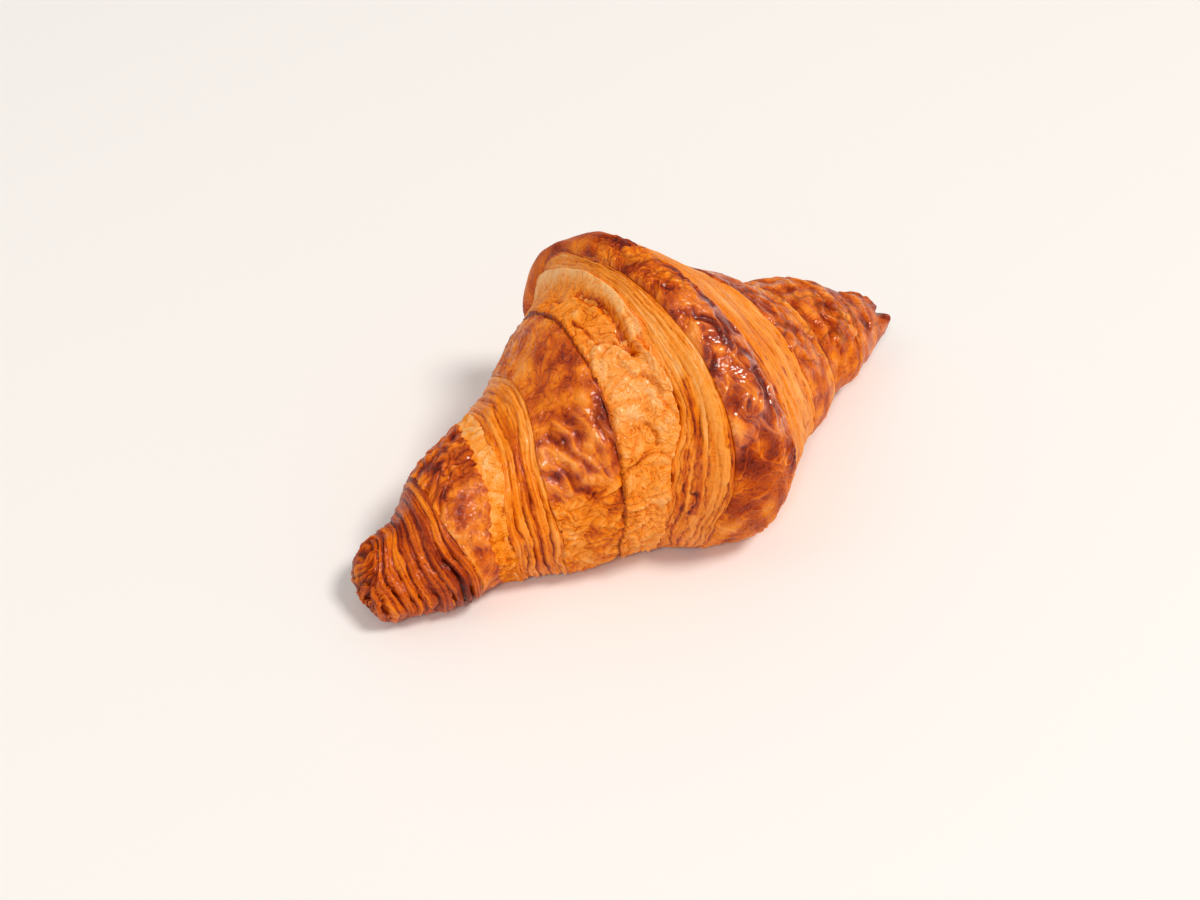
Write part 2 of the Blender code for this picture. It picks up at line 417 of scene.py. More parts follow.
def wrap(name, material, across, around, left, right, tuck, surface, thickness=2.0):
    """A wrap of the roll, between two lines round it, tucked under its neighbours by `tuck` mm."""
    def shape(along, angle, under):
        u = spread(along)
        low = left(angle) - tuck[0]
        high = right(angle) + tuck[1]
        x = low * (1.0 - u) + high * u
        from_left = x - left(angle)
        from_right = right(angle) - x
        rise, looks = surface(x, angle, from_left, from_right)
        radius = skin(x, angle) - 0.35 + rise
        radius = radius - 1.6 * smooth(-from_left, 0.0, 2.0) - 1.6 * smooth(-from_right, 0.0, 2.0)
        radius = np.where(under, radius - thickness, radius)
        return x, radius, looks
    return finish_piece(name, [spin_mesh(across, around, shape)], material)


def leaves(name, material, count, around, left, right, girth, seed, surface,
           lift=0.45, sink=1.3, thick=0.35, wobble=0.55, jag=0.12):
    """Cut layers: thin leaves lying on each other like shingles, each with a free edge."""
    rng = np.random.default_rng(seed)
    rings = []
    for number in range(count):
        own = rng.standard_normal()
        shove = 0.35 * rng.standard_normal()

        def shape(along, angle, under):
            sway = hills(number * 1.3 + 0 * angle, angle, 2.6, 9.0, girth, seed + 1)
            quick = hills(number * 3.1 + 0 * angle, angle, 1.0, 5.0, girth, seed + 2)
            spacing = (right(angle) - left(angle)) / count
            front = left(angle) + spacing * (number + shove + wobble * sway * 2.0 + 0.6 * wobble * quick)
            front = front + jag * hills(number * 5.0 + 0 * angle, angle, 1.0, 1.6, girth, seed + 3)
            span = spacing * 2.2 + 1.2
            ease = along ** 1.5
            x = front + span * ease
            stand = 0.7 + 1.1 * hills(number * 2.0 + 0 * angle, angle, 1.0, 7.0, girth, seed + 4)
            fine = 0.13 * hills(x + number * 9.0, angle, 0.7, 5.0, girth, seed + 5)
            radius = skin(x, angle) - 0.5 + lift * stand * (1.0 - ease) ** 1.6 - sink * ease ** 1.3 + fine
            radius = radius - lip(span * ease + 0.0001, 0.3)
            radius = np.where(under, radius - thick, radius)
            covered = smooth(span * ease / spacing, 0.25, 1.1)
            edge = 1.0 - smooth(span * ease, 0.0, 0.5)
            streak = hills(x * 0.3 + number * 7.0, angle, 1.0, 6.0, girth, seed + 6)
            looks = surface(x, angle, own, covered, edge, streak)
            # Dark underneath each leaf: painted shade.
            looks["painted_groove_shade"] = np.where(under, 0.9, looks["painted_groove_shade"])
            return x, radius, looks
        rings.append(spin_mesh(9, around, shape))
    return finish_piece(name, rings, material)


# Lines round the roll between the wraps
stub_end = round_line((20, -73), (60, -74), (90, -77), (110, -79), (130, -79.8), (170, -80.5), (205, -80), (325, -74))
a_left = round_line((0, -57), (60, -60), (90, -61.5), (115, -62), (140, -61.5), (160, -61), (180, -60), (200, -59), (320, -56))
a_wash = round_line((0, -40), (45, -43.5), (60, -45.5), (75, -46.5), (88, -48), (105, -49.5), (120, -50.5), (135, -52), (145, -54), (160, -55), (200, -54.5), (320, -39))
a_right = round_line((0, -37), (60, -41.5), (80, -43.5), (110, -45.5), (125, -47.5), (140, -49.5), (160, -51), (200, -50), (320, -36))
b_left = round_line((0, -27), (45, -30), (65, -31), (85, -33), (105, -36), (120, -38.5), (135, -39.5), (150, -40.5), (200, -40), (320, -25))
c_left = round_line((0, -13.5), (40, -15.5), (65, -17), (75, -18), (88, -19.5), (97, -20), (105, -21), (115, -22), (130, -23.5), (150, -25.5), (172, -27.5), (200, -28.5), (320, -12), blur=3)
c_right = round_line((0, -6.4), (30, -6.0), (60, -6.2), (80, -6.8), (95, -7.9), (110, -9.2), (125, -10), (140, -11), (152, -13), (162, -16), (175, -17.5), (205, -19), (320, -8), blur=4)
d_left = round_line((0, -7.5), (18, -7), (32, -4.6), (42, -3.6), (60, -3.8), (90, -3.8), (130, -3.8), (155, -4.5), (170, -5.5), (180, -6.5), (197, -9), (320, -5), blur=5)
d_right = round_line((0, 1.5), (45, 3), (60, 4), (80, 6), (95, 7.5), (110, 8), (125, 9.3), (140, 10), (158, 10.5), (168, 12), (180, 14), (200, 14), (320, 2))
e_right = round_line((0, 22), (60, 25), (80, 27.5), (105, 30.5), (120, 31.5), (140, 32), (160, 32.5), (175, 34), (200, 35), (320, 20))
f_right = round_line((0, 40), (60, 43.5), (90, 45.5), (120, 46), (150, 46.5), (180, 48), (320, 38))
g_right = round_line((0, 57), (90, 61.5), (120, 62.5), (150, 63), (200, 63), (320, 56))


def stub_shape(along, angle, under):
    x = -82.0 + along ** 1.3 * (stub_end(angle) + 3.0 + 82.0)
    end = np.clip((x + 82.0) / 2.6, 0.0, 1.0)
    dome = np.sqrt(np.clip(1.0 - (1.0 - end) ** 2, 0.0, 1.0)) * (0.80 + 0.20 * end)
    body = skin(np.maximum(x, -79.6), angle) * dome
    sheet = body * np.cos(angle - 0.5) + 0.9 * hills(x, angle, 2.5, 5.0, 9.0, 12)
    line = body * np.sin(angle - 0.5) * 0.3 + x * 0.5
    strand, thread = wrinkles(sheet, line / 8.0, 1.9, 5.0, 8.0, 11, swirl=0.3)
    small, thin = wrinkles(sheet, line / 8.0, 0.8, 2.5, 8.0, 14, swirl=0.4)
    pit = smooth(hills(sheet, line / 8.0, 1.7, 2.2, 8.0, 16), 0.30, 0.70)
    rise = 0.9 * (smooth(strand, 0.0, 0.6) - 1.0) + 0.35 * thread + 0.3 * (small - 1.0) - 1.2 * pit
    x = x - 0.6 * (1.0 - dome) * (rise + 0.6)
    radius = np.where(under, 0.0, (body + 0.3) * dome ** 0.1 + rise * smooth(dome, 0.05, 0.5))
    radius = np.maximum(radius, 0.0) - 1.2 * smooth(x - stub_end(angle), 0.0, 2.0) * (radius > 2.0)
    # Darker in the creases and pits, lighter on the raised threads: painted shade and light.
    bake_and_painted_shading = 0.63 + 0.14 * hills(x, angle, 2.0, 2.0, 9.0, 13) + 0.16 * (1.0 - small) - 0.14 * thread + 0.10 * pit
    return x, radius, {"bake_and_painted_shading": bake_and_painted_shading, "painted_groove_shade": np.maximum(0.8 * (1 - smooth(strand, 0.0, 0.35)), 0.8 * pit), "wash": 0.3}


finish_piece("stub", [spin_mesh(80, 420, stub_shape, closed=False)], cut_layers)


def near_surface(x, angle, from_left, from_right):
    low = smooth(np.degrees(angle), 100, 150) * (1.0 - smooth(np.degrees(angle), 200, 230))
    width = from_left + from_right
    across = from_left / width * 17.0 + 1.1 * hills(x, angle, 9.0, 11.0, 13.0, 20)
    big, own, gap = layers(across, angle, 2.3, 13.0, 21)
    middle, middle_own, middle_gap = layers(across, angle, 0.95, 13.0, 24)
    thread = hills(across, angle, 0.45, 7.0, 13.0, 27)
    lump = hills(across, angle, 4.5, 6.0, 13.0, 28)
    open_gap = smooth(hills(across * 0.45, angle, 1.0, 4.5, 13.0, 29), 0.05, 0.5) * low * smooth(gap, 0.15, 0.9)
    rise = 0.35 + (1.1 + 0.8 * low) * big + (0.45 + 0.15 * low) * middle + 0.12 * thread + 0.6 * lump - 1.3 * open_gap
    # Darker along the gaps at the feet of the sheets' edges and in the open gaps: painted shade.
    bake_and_painted_shading = 0.60 + 0.16 * own + 0.14 * middle_own + 0.18 * gap + 0.16 * middle_gap + 0.08 * thread + 0.05 * low
    painted_groove_shade = np.maximum((0.2 + 0.4 * low) * smooth(gap, 0.35, 1.0), 0.9 * open_gap)
    return rise, {"bake_and_painted_shading": bake_and_painted_shading, "painted_groove_shade": painted_groove_shade, "wash": 0.6}


wrap("near_tip_layers", cut_layers, 128, 660, stub_end, a_left, (1.5, 2.0), near_surface, thickness=1.6)


def a_surface(x, angle, from_left, from_right):
    degrees = np.degrees(angle)
    from_wash = a_wash(angle) + 0.8 * hills(x, angle, 1.6, 1.6, 21.0, 30) - x
    washed = smooth(from_wash, -0.25, 0.25)
    upper = 1.0 - smooth(degrees, 98, 112)
    plain = smooth(degrees, 150, 165)
    fold, ridge = wrinkles(x, angle, 2.6, 3.2, 21.0, 31)
    broad, thin = wrinkles(x, angle, 4.5, 6.0, 21.0, 36)
    pebble = pebbles(x, angle, 0.7, 21.0, 32)
    rise = lively(x, angle, 21.0, 33) + 0.35
    crest, frill = blisters(x, angle, 3.6, 6.0, 21.0, 131)
    rise = rise + washed * (1.0 - plain) * ((0.15 + 0.5 * upper) * (fold - 0.7) + 0.15 * thin + 0.5 * (broad - 0.6))
    rise = rise + washed * (1.0 - plain) * (1.0 - upper) * (0.45 * (crest - 0.5) + 0.18 * (frill - 0.5))
    rise = rise + (1.0 - washed) * (0.12 * (pebble - 0.7) + 0.3 * (fold - 0.6) + 0.25 * ridge - 0.25) + plain * (0.4 * (broad - 0.6) + 0.15 * ridge)
    rise = rise - lip(from_left, 0.6) * (from_left > 0) + 0.35 * np.exp(-np.abs(from_left) / 1.2)
    shiny = patch(x, angle, 21.0, (-57.0, 118), (3.0, 5.0))
    # Darker in the creases and the blister hollows: painted shade, with egg wash pooled in the washed creases and
    # hollows.
    brown = 0.54 + 0.18 * hills(x, angle, 3.0, 4.0, 21.0, 34) + 0.20 * upper * (1.0 - fold) + 0.04 * plain + 0.08 * shiny
    brown = brown - 0.14 * np.exp(-np.abs(from_left - 0.5) / 0.7)
    pale = 0.15 + 0.12 * hills(x, angle, 2.0, 4.0, 21.0, 35) + 0.14 * (1.0 - pebble) + 0.12 * (1.0 - fold) + 0.18 * smooth(degrees, 140, 165)
    brown = brown + (1.0 - plain) * (1.0 - upper) * (0.10 * (0.5 - crest) + 0.08 * (0.4 - frill))
    rim = np.exp(-np.abs(from_wash) / 0.35) * washed * 0.12
    bake_and_painted_shading = washed * (brown + rim) + (1.0 - washed) * pale
    painted_groove_shade = 0.5 * washed * (1.0 - plain) * (1.0 - smooth(fold, 0.0, 0.22)) * (0.4 + 0.6 * upper)
    gleam = smooth(degrees, 96, 112) * (1.0 - plain)
    return rise, {"bake_and_painted_shading": bake_and_painted_shading, "painted_groove_shade": painted_groove_shade, "wash": washed * (0.30 + gleam * (0.2 + 0.5 * crest))}


wrap("second_wrap", washed_crust, 92, 640, a_left, a_right, (0.0, 2.0), a_surface)


def layered_surface(girth, seed, width, spacing, tone, depth, right_pale=0.0, low_tone=0.0, low_from=140,
                    wavy=1.0):
    """Cut layers lying flat: broad sheets, and finer ones between them."""
    def surface(x, angle, from_left, from_right):
        low = smooth(np.degrees(angle), low_from - 10, low_from + 10)
        across = from_left / (from_left + from_right) * width
        big, own, gap = layers(across, angle, spacing, girth, seed, wavy)
        fine, fine_own, fine_gap = layers(across, angle, spacing * 0.42, girth, seed + 5, wavy)
        fold, ridge = wrinkles(across, angle, spacing * 0.7, 7.0, girth, seed + 10, swirl=0.5)
        wave = hills(across, angle, 4.0, 12.0, girth, seed + 15)
        hair = hills(across, angle, spacing * 0.16, 9.0, girth, seed + 20)
        rise = depth * (1.0 + 0.4 * low) * (0.85 * big + 0.50 * fine + 0.25 * (fold - 0.6) + 0.5 * wave + 0.10 * hair)
        # Darker in the creases, along the gaps at the sheets' feet and in the joint at the right border: painted shade.
        bake_and_painted_shading = tone + low_tone * low + 0.17 * own + 0.14 * fine_own + 0.08 * (1.0 - fold) + 0.05 * hair
        bake_and_painted_shading = bake_and_painted_shading + (0.15 + 0.12 * low) * gap + 0.16 * fine_gap
        bake_and_painted_shading = bake_and_painted_shading - right_pale * np.exp(-np.abs(from_right - 0.8) / 1.4)
        bake_and_painted_shading = bake_and_painted_shading + 0.30 * np.exp(-np.maximum(from_right, 0.0) / 0.25)
        painted_groove_shade = (0.10 + 0.4 * low) * smooth(gap, 0.3, 1.0)
        return rise, {"bake_and_painted_shading": bake_and_painted_shading, "painted_groove_shade": painted_groove_shade, "wash": 0.6 + 0.3 * wave}
    return surface


wrap("left_cut_layers", cut_layers, 120, 700, a_right, b_left, (1.8, 1.8),
     layered_surface(27.0, 41, 11.5, 2.5, 0.38, 1.05, right_pale=0.14, low_tone=0.03))


def b_surface(x, angle, from_left, from_right):
    degrees = np.degrees(angle) + 4.0 * hills(x, angle, 3.0, 5.0, 32.0, 50)
    blistered = smooth(degrees, 104, 114) * (1 - smooth(degrees, 148, 156))
    lower = smooth(degrees, 146, 156)
    upper = 1 - smooth(degrees, 102, 112)
    fold, ridge = wrinkles(x, angle, 3.4, 11.0, 32.0, 51, swirl=0.6)
    small, thin = wrinkles(x, angle, 2.0, 3.0, 32.0, 57, swirl=1.0)
    gap, own = plates(x + 2.2 * hills(x, angle, 3.0, 3.0, 32.0, 59), angle, 3.6, 8.0, 32.0, 53)[1:]
    crack = 1 - smooth(gap, 0.0, 0.12)
    pebble = pebbles(x, angle, 0.7, 32.0, 54)
    rise = lively(x, angle, 32.0, 55) + 0.35
    crest, frill = blisters(x - 0.06 * degrees, angle, 3.2, 15.0, 32.0, 54, swirl=0.5)
    rise = rise + blistered * (0.95 * (crest - 0.5) + 0.25 * (frill - 0.5))
    rise = rise + upper * (0.22 * (small - 0.5) + 0.25 * thin)
    rise = rise + lower * (0.5 * (own - 0.5) * smooth(gap, 0.0, 0.5) - 0.2 * crack + 0.45 * (small - 0.5) + 0.3 * thin)
    rise = rise + 0.05 * (pebble - 0.5)
    rise = rise - lip(from_left, 0.5) * (from_left > 0) + 0.3 * np.exp(-np.abs(from_left) / 1.5)
    rise = rise - 0.7 * np.exp(-np.abs(from_right) / 0.5)
    burnt = (patch(x, angle, 32.0, (-36.5, 136), (1.0, 1.8)) + patch(x, angle, 32.0, (-32.7, 152), (0.9, 2.2))
             + 0.8 * patch(x, angle, 32.0, (-27.0, 163), (0.8, 3.0)) + 0.5 * patch(x, angle, 32.0, (-25.0, 76), (2.6, 5.0))
             + 0.5 * patch(x, angle, 32.0, (-27.0, 140), (1.5, 3.0)))
    bake_and_painted_shading = 0.50 + 0.18 * hills(x, angle, 4.0, 5.0, 32.0, 56) + 0.01 * blistered - 0.10 * lower - 0.05 * smooth(75 - degrees, 0, 12)
    # Darker in the blister hollows, creases and cracks and beside the bare crust's overlapping border, lighter on thin
    # raised ridges: painted shade and light, with egg wash pooled in the hollows and the joint.
    bake_and_painted_shading = bake_and_painted_shading + blistered * (0.08 + 0.26 * (0.5 - crest) + 0.14 * (0.4 - frill)) + 0.03 * upper
    bake_and_painted_shading = bake_and_painted_shading - 0.16 * patch(x, angle, 32.0, (-28.5, 66), (3.0, 6.0)) + 0.32 * burnt + 0.10 * (1.0 - blistered) * (1.0 - small) + 0.08 * lower * crack + 0.14 * lower * (own - 0.5) - 0.10 * lower * thin
    bake_and_painted_shading = bake_and_painted_shading + 0.16 * np.exp(-np.abs(from_right) / 0.5)
    painted_groove_shade = 0.25 * blistered * (1.0 - smooth(crest, 0.0, 0.25)) + 0.12 * lower * crack
    return rise, {"bake_and_painted_shading": np.minimum(bake_and_painted_shading, 0.84), "painted_groove_shade": np.clip(painted_groove_shade, 0, 1), "wash": 0.15 + blistered * (0.15 + 0.7 * crest) + 0.3 * upper}


wrap("first_wrap_washed", washed_crust, 92, 860, b_left, c_left, (0.0, 2.0), b_surface)


def c_surface(x, angle, from_left, from_right):
    def line(width, *places):
        return stroke(x + 0.25 * wander, angle, 37.0, width, *places)
    wander = hills(x, angle, 1.5, 2.0, 37.0, 66)
    degrees = np.degrees(angle)
    pebble = pebbles(x, angle, 0.75, 37.0, 61)
    fold, thin = wrinkles(x, angle, 4.0, 5.5, 37.0, 62)
    small, crinkle = wrinkles(x, angle, 1.8, 2.6, 37.0, 67)
    low = smooth(degrees, 152, 170)
    top = 1.0 - smooth(degrees, 84, 100)
    edge = np.exp(-((from_right - 0.7) / 1.5) ** 2)
    calm = 1.0 - 0.8 * top * np.exp(-np.maximum(from_right - 0.5, 0.0) / 1.2)
    rise = (0.8 - 0.3 * top) * (fold - 0.6) + 0.30 * thin + (0.18 + 0.25 * low) * (small - 0.5)
    rise = calm * (rise + (0.12 + 0.25 * low) * crinkle + 0.09 * (pebble - 0.5))
    rise = rise + 0.55 + 0.6 * hills(x, angle, 6.0, 9.0, 37.0, 63) + (0.4 + 0.7 * top) * edge
    lip_valley = line(1.5, (-9.9, 62), (-9.7, 74), (-9.9, 84), (-10.6, 92), (-11.9, 101), (-12.2, 110))
    second_ridge = line(1.1, (-9.2, 90), (-10.0, 96), (-10.8, 102), (-10.9, 110), (-10.8, 118))
    second_valley = line(1.0, (-9.5, 104), (-9.8, 116), (-10.3, 127))
    curl = line(1.1, (-13.0, 46), (-12.3, 51), (-12.9, 56), (-14.2, 58), (-14.9, 54))
    crack = line(0.6, (-16.0, 76), (-15.8, 86), (-16.3, 96))
    sheet = line(0.9, (-20.2, 100), (-18.5, 96), (-17.0, 94.5), (-15.2, 96), (-14.0, 100), (-12.4, 109))
    sheet_lip = line(1.1, (-20.0, 103), (-18.3, 99), (-16.9, 97.5), (-15.4, 99), (-14.6, 103), (-13.2, 111))
    pit = line(1.0, (-13.3, 120), (-12.6, 125), (-12.5, 131))
    fold_lip = line(0.8, (-15.2, 108), (-14.7, 117), (-14.2, 124), (-13.9, 131), (-13.3, 138))
    fold_gap = line(0.9, (-13.3, 131), (-12.9, 137), (-12.2, 142), (-11.9, 146))
    half_moon = line(0.8, (-17.0, 121), (-16.2, 125), (-16.4, 131), (-17.2, 133))
    away = np.hypot(x + 21.6, (degrees - 143) * 0.646)
    swirl = np.exp(-(away / 2.8) ** 2) * np.cos(TURN * away / 1.5)
    swirl_gap = line(0.9, (-17.6, 140), (-16.7, 146), (-17.3, 151))
    third = line(0.9, (-25.8, 156), (-24.5, 153.5), (-22.0, 153), (-19.5, 153), (-17.5, 155), (-15.5, 160))
    third_lip = line(1.2, (-25.6, 159), (-24.3, 156.5), (-22.0, 156), (-19.7, 156), (-17.8, 158))
    rise = rise - 1.3 * lip_valley + 0.8 * second_ridge - 0.9 * second_valley - 0.9 * curl
    rise = rise - 0.4 * crack - 0.7 * sheet + 0.5 * sheet_lip - 0.6 * pit + 0.5 * fold_lip - 0.7 * fold_gap
    rise = rise + 0.4 * half_moon + 0.30 * swirl - 0.6 * swirl_gap - 0.5 * third + 0.4 * third_lip
    rise = rise - lip(from_left, 0.7) * (from_left > 0) - lip(from_right, 0.5)
    # Darker in the creases, in the valleys, cracks, pits and gaps cut in above and in the joint at the left border,
    # lighter on the crinkle ridges: painted shade and light.
    bake_and_painted_shading = 0.17 + 0.08 * hills(x, angle, 3.0, 5.0, 37.0, 64) + 0.07 * low - 0.06 * crinkle
    bake_and_painted_shading = bake_and_painted_shading + calm * (0.08 * (1.0 - pebble) + 0.12 * (1.0 - fold) + 0.05 * (1.0 - small))
    bake_and_painted_shading = bake_and_painted_shading + 0.11 * top * (1.0 - edge) + 0.32 * lip_valley + 0.14 * second_valley + 0.20 * curl
    bake_and_painted_shading = bake_and_painted_shading + 0.25 * crack + 0.16 * sheet
    bake_and_painted_shading = bake_and_painted_shading + 0.12 * pit + 0.12 * fold_gap + 0.10 * np.exp(-(away / 3.0) ** 2) + 0.18 * swirl_gap + 0.14 * third
    bake_and_painted_shading = bake_and_painted_shading + 0.22 * patch(x, angle, 37.0, (-22.5, 152), (3.0, 1.5)) + 0.28 * np.exp(-np.abs(from_left) / 0.35)
    bake_and_painted_shading = bake_and_painted_shading - (0.02 + 0.03 * top) * edge
    painted_groove_shade = 0.2 * pit + 0.2 * swirl_gap + 0.1 * third + 0.15 * sheet + 0.15 * np.exp(-np.abs(from_left) / 0.3)
    gleam = smooth(degrees, 82, 100) * (1.0 - smooth(degrees, 132, 150))
    return rise, {"bake_and_painted_shading": bake_and_painted_shading, "painted_groove_shade": np.clip(painted_groove_shade, 0, 1), "wash": 0.25 + 0.6 * gleam}


wrap("first_wrap_bare", bare_crust, 90, 1000, c_left, c_right, (0.0, 0.0), c_surface)
crest_layers = layered_surface(40.0, 71, 9.0, 1.35, 0.29, 0.75, low_tone=0.07, low_from=138, wavy=2.2)


def crest_layers_surface(x, angle, from_left, from_right):
    rise, looks = crest_layers(x, angle, from_left, from_right)
    wander = x + 0.3 * hills(x, angle, 1.5, 3.0, 40.0, 78)
    dark = stroke(wander, angle, 40.0, 1.4, (-8.2, 131), (-9.4, 143), (-10.4, 156), (-11.6, 170), (-13.2, 190))
    dark = dark + stroke(wander, angle, 40.0, 1.1, (-12.6, 158), (-14.2, 172), (-15.6, 190), (-16.5, 200))
    pale = stroke(wander, angle, 40.0, 1.9, (-5.9, 127), (-6.2, 140), (-6.7, 152), (-7.3, 164), (-8.2, 174))
    valley = stroke(wander, angle, 40.0, 1.5, (-10.9, 134), (-11.9, 143), (-13.8, 152), (-16.6, 162), (-18.2, 175), (-19.2, 196))
    pebble = pebbles(x, angle, 0.7, 40.0, 79)
    rise = rise * (1.0 - 0.8 * pale) + 0.35 * dark + pale * (0.5 + 0.12 * pebble) - 1.1 * valley
    # Darker in the valley cut in above: painted shade.
    looks["bake_and_painted_shading"] = looks["bake_and_painted_shading"] * (1.0 - 0.7 * pale) + 0.22 * pale + 0.24 * dark + 0.16 * valley
    looks["painted_groove_shade"] = looks["painted_groove_shade"] * (1.0 - pale) + 0.25 * valley
    degrees = np.degrees(angle)
    looks["bake_and_painted_shading"] = looks["bake_and_painted_shading"] - 0.07 * smooth(degrees, 92, 112) * (1.0 - smooth(degrees, 150, 165))
    return rise, looks


wrap("crest_cut_layers", cut_layers, 116, 800, c_right, d_left, (1.8, 1.8), crest_layers_surface)


def d_surface(x, angle, from_left, from_right):
    degrees = np.degrees(angle)
    lower = smooth(degrees, 160, 172)
    calm = 1.0 - smooth(degrees, 52, 68)
    glossy = smooth(degrees, 100, 118) * (1.0 - lower)
    live = (1.0 - lower) * (1.0 - calm)
    fold, ridge = wrinkles(x, angle, 4.8, 8.0, 42.0, 81, swirl=0.9)
    small, thin = wrinkles(x, angle, 2.0, 2.6, 42.0, 86, swirl=1.3)
    net = wrinkles(x, angle, 5.0, 6.0, 42.0, 89, swirl=0.8)[0]
    pebble = pebbles(x, angle, 0.7, 42.0, 83)
    hood = (1.0 - smooth(degrees, 38, 58)) + smooth(degrees, 310, 330)
    bean = patch(x + 0.09 * (degrees - 130), angle, 42.0, (-2.2, 131), (1.0, 5.0))
    rise = lively(x, angle, 42.0, 84) + 0.35
    crest, frill = blisters(x, angle, 4.0, 7.5, 42.0, 181, swirl=1.0)
    rise = rise + (live - glossy) * (0.8 * (fold - 0.6) + 0.35 * (small - 0.5) + 0.3 * ridge + 0.12 * thin)
    rise = rise + glossy * (0.85 * (crest - 0.5) + 0.25 * (frill - 0.5))
    rise = rise + 0.06 * (pebble - 0.5) + lower * (0.35 * (small - 0.5) + 0.25 * (1.0 - smooth(net, 0.0, 0.25))) + 0.8 * bean
    rise = rise + 0.5 * np.exp(-np.abs(from_left) / 2.0) * (1.0 - lower) + 0.35 * np.exp(-np.abs(from_right) / 1.5)
    rise = rise + hood * (skin(np.maximum(x, -2.7), angle) - skin(x, angle))
    rise = rise - lip(from_left, 0.8 + 1.6 * hood) - lip(from_right, 0.6)
    spots = (patch(x, angle, 42.0, (-0.5, 146), (1.0, 2.0)) + patch(x, angle, 42.0, (3.0, 132), (0.9, 1.2))
             + 0.8 * patch(x, angle, 42.0, (1.0, 154), (1.2, 3.0)) + 0.7 * patch(x, angle, 42.0, (1.5, 72), (1.6, 5.0))
             + 0.6 * patch(x, angle, 42.0, (6.5, 140), (1.6, 3.0)) + 0.5 * patch(x, angle, 42.0, (2.0, 125), (3.0, 5.0))
             + 0.6 * patch(x, angle, 42.0, (4.5, 137), (3.5, 14.0)))
    bake_and_painted_shading = 0.57 + 0.23 * hills(x, angle, 4.4, 8.0, 42.0, 85) + 0.07 * glossy + 0.17 * lower * (1.0 - smooth(degrees, 180, 192)) + 0.04 * calm
    # Darker in the creases and the blister hollows, lighter on the raised ridges: painted shade and light, with egg
    # wash pooled in the hollows.
    bake_and_painted_shading = bake_and_painted_shading + 0.22 * spots + 0.16 * bean + (live - glossy) * (0.14 * (1.0 - small) - 0.12 * thin - 0.08 * ridge)
    bake_and_painted_shading = bake_and_painted_shading + 0.03 * (live - glossy) + glossy * (0.24 * (0.5 - crest) + 0.14 * (0.4 - frill)) - 0.14 * lower * (1.0 - smooth(net, 0.0, 0.15))
    painted_groove_shade = 0.4 * (live - glossy) * (1 - smooth(fold, 0.0, 0.22)) + 0.25 * glossy * (1.0 - smooth(crest, 0.0, 0.25))
    return rise, {"bake_and_painted_shading": np.minimum(bake_and_painted_shading, 0.84), "painted_groove_shade": painted_groove_shade, "wash": 0.12 + 0.12 * live + glossy * (0.15 + 0.75 * crest)}


wrap("crest", washed_crust, 84, 1120, d_left, d_right, (0.0, 0.0), d_surface, thickness=6.0)


def e_surface(x, angle, from_left, from_right):
    strand = wrinkles(from_left, angle, 1.7, 26.0, 34.0, 91, swirl=0.3)[0]
    small = wrinkles(from_left, angle, 0.9, 9.0, 34.0, 94, swirl=0.4)[0]
    edge, own, gap = layers(-from_left, angle, 5.5, 34.0, 89)
    rise = lively(x, angle, 34.0, 93) * 0.7 + 0.45 * edge + 0.40 * (strand - 0.6) + 0.25 * (small - 0.5)
    rise = rise - 0.6 * np.exp(-np.abs(from_left) / 0.5) - lip(from_right, 0.5) * (from_right > 0)
    amber = patch(x, angle, 34.0, (12.0, 135), (1.6, 22.0)) + patch(x, angle, 34.0, (17.5, 115), (1.4, 10.0))
    dashes = smooth(hills(from_left, angle, 1.3, 4.0, 34.0, 99), 0.40, 0.65) * smooth(np.degrees(angle), 110, 140)
    # Darker in the creases and gaps, and along the left border under the crest's overhanging edge: painted shade.
    bake_and_painted_shading = 0.25 + 0.10 * hills(from_left, angle, 2.5, 14.0, 34.0, 97) + 0.09 * (1.0 - strand) + 0.13 * (1.0 - small)
    bake_and_painted_shading = bake_and_painted_shading + 0.04 * gap + 0.13 * amber + 0.20 * dashes + 0.3 * np.exp(-np.abs(from_left) / 0.4)
    return rise, {"bake_and_painted_shading": bake_and_painted_shading, "painted_groove_shade": 0.2 * smooth(gap, 0.4, 1.0), "wash": 0.4}


wrap("crest_right_cut_face", cut_layers, 116, 780, d_right, e_right, (2.0, 0.0), e_surface)


